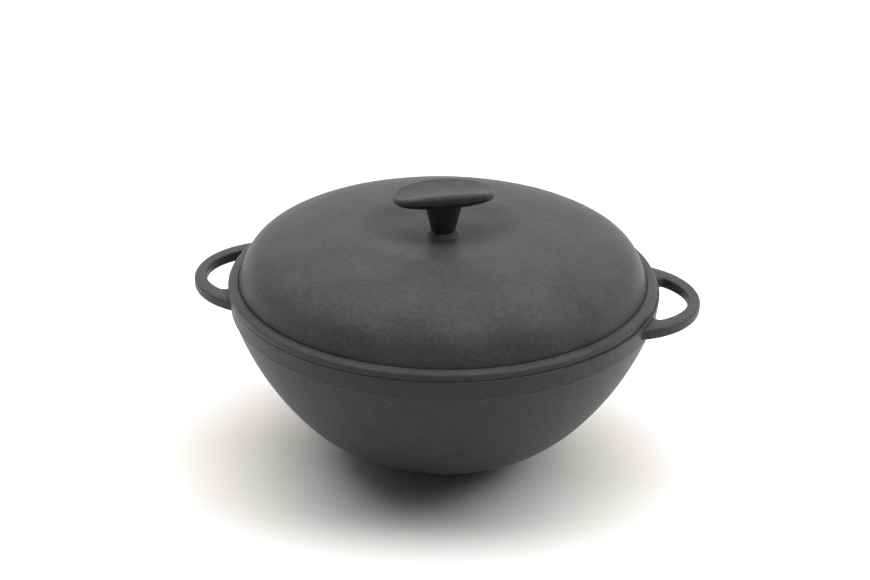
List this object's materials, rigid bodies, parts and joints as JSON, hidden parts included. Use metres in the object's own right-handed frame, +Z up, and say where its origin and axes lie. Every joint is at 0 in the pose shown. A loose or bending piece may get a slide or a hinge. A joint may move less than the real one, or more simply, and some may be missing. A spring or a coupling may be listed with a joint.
{
  "type": "wok with lid",
  "caption": "Round-bottomed cast-iron wok with two loop ears and a domed lift-off lid with a saddle-shaped knob.",
  "frame": {"origin": "middle of the flat foot, on the surface that the wok stands on", "axes": "+Z up along the bowl's axis, X through the two loop ears"},
  "size_m": [0.4056, 0.3418, 0.2245],
  "materials": {
    "cast_iron": "satin, fine sand-cast grain, seasoned charcoal grey",
    "steel": "plain bright steel"
  },
  "bodies": {
    "pot": {"pot": "cast_iron"},
    "lid": {"lid": "cast_iron", "lid_knob": "cast_iron", "knob_screw": "steel", "knob_washer": "steel"}
  },
  "joints": [
    {"name": "lid_lift", "type": "slide", "parent": "pot", "child": "lid", "axis": [0, 0, 1], "range_m": [0, 0.15]}
  ]
}
